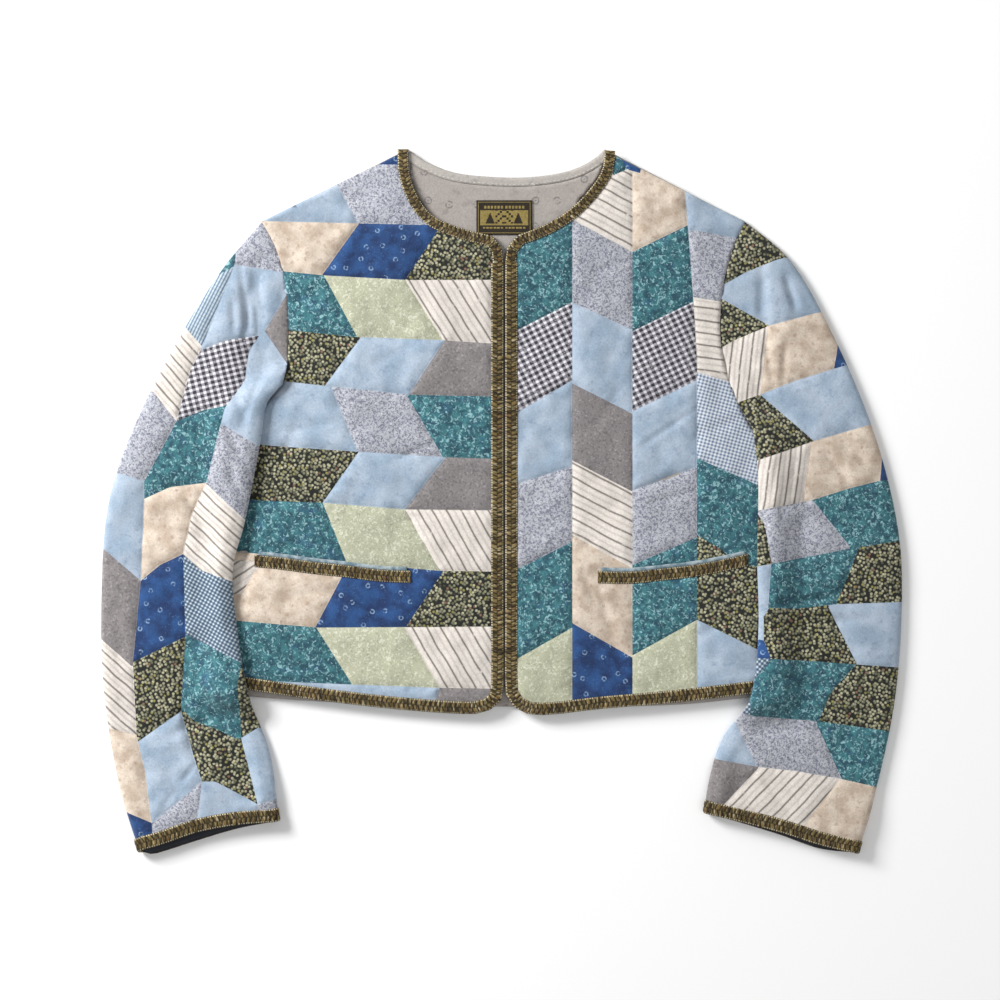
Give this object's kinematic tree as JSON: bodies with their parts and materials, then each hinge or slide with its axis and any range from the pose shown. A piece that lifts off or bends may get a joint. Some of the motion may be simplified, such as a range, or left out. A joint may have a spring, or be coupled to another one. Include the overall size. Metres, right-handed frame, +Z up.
{
  "type": "patchwork jacket laid flat",
  "caption": "Cropped collarless patchwork jacket in quilted cotton prints, braid-edged, with slit pockets, laid flat front side up.",
  "frame": {"origin": "middle of the jacket's outline in plan, on the surface it lies on", "axes": "+X towards the wearer's left sleeve, +Y towards the neck, +Z up from the surface"},
  "size_m": [0.7198, 0.632, 0.021],
  "materials": {
    "quilted_patchwork": "pieced cotton prints, quilted in diagonal lines",
    "printed_lining": "grey-beige cotton with a small ring print",
    "neck_facing": "pale cotton facing",
    "pocket_cloth": "plain thin cotton",
    "sleeve_lining": "dark plain lining",
    "edge_braid": "olive and brown plaited braid with light flecks",
    "woven_label": "black woven label with a plain gold pattern"
  },
  "bodies": {
    "root": {"back_panel": "quilted_patchwork", "back_lining": "printed_lining", "back_neck_facing": "neck_facing", "neck_label": "woven_label", "neck_braid_back": "edge_braid", "hem_braid_back": "edge_braid", "front_panel_right": "quilted_patchwork", "pocket_bag_right": "pocket_cloth", "neck_braid_right": "edge_braid", "front_braid_right": "edge_braid", "pocket_braid_right": "edge_braid", "sleeve_right": "quilted_patchwork", "sleeve_lining_right": "sleeve_lining", "cuff_braid_right": "edge_braid", "front_panel_left": "quilted_patchwork", "pocket_bag_left": "pocket_cloth", "neck_braid_left": "edge_braid", "front_braid_left": "edge_braid", "pocket_braid_left": "edge_braid", "sleeve_left": "quilted_patchwork", "sleeve_lining_left": "sleeve_lining", "cuff_braid_left": "edge_braid"}
  },
  "joints": []
}
